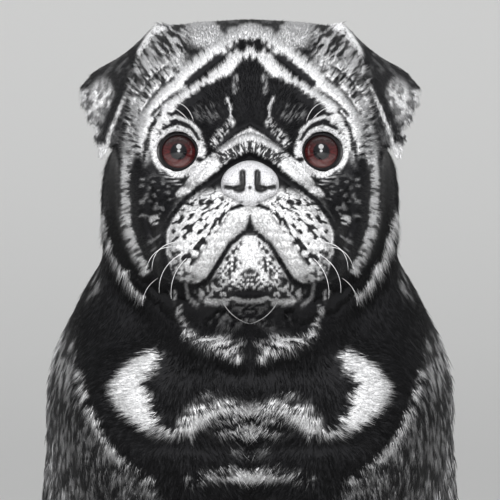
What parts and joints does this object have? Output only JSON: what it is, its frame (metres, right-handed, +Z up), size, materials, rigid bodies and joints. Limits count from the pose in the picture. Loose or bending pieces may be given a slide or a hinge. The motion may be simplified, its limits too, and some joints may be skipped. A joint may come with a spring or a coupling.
{
  "type": "pug dog, black, sitting",
  "caption": "Life-size still model of a stout black pug sitting upright and looking straight ahead, with a flat wrinkled face, folded ears and a curled tail.",
  "frame": {"origin": "centre of the bounding box, at the floor", "axes": "+Z up; the dog faces -Y and its left side is +X"},
  "size_m": [0.2338, 0.3482, 0.4009],
  "materials": {
    "coat": "satin",
    "pale_coat": "satin",
    "nose_leather": "satin",
    "eye": "gloss"
  },
  "bodies": {
    "root": {"head": "pale_coat", "jaw": "pale_coat", "nose": "nose_leather", "neck": "coat", "torso": "coat", "tail_base": "coat", "tail_tip": "coat", "eye_left": "eye", "ear_left": "coat", "foreleg_left": "coat", "forepaw_left": "coat", "hindleg_left": "coat", "hindpaw_left": "coat", "eye_right": "eye", "ear_right": "coat", "foreleg_right": "coat", "forepaw_right": "coat", "hindleg_right": "coat", "hindpaw_right": "coat"}
  },
  "joints": []
}
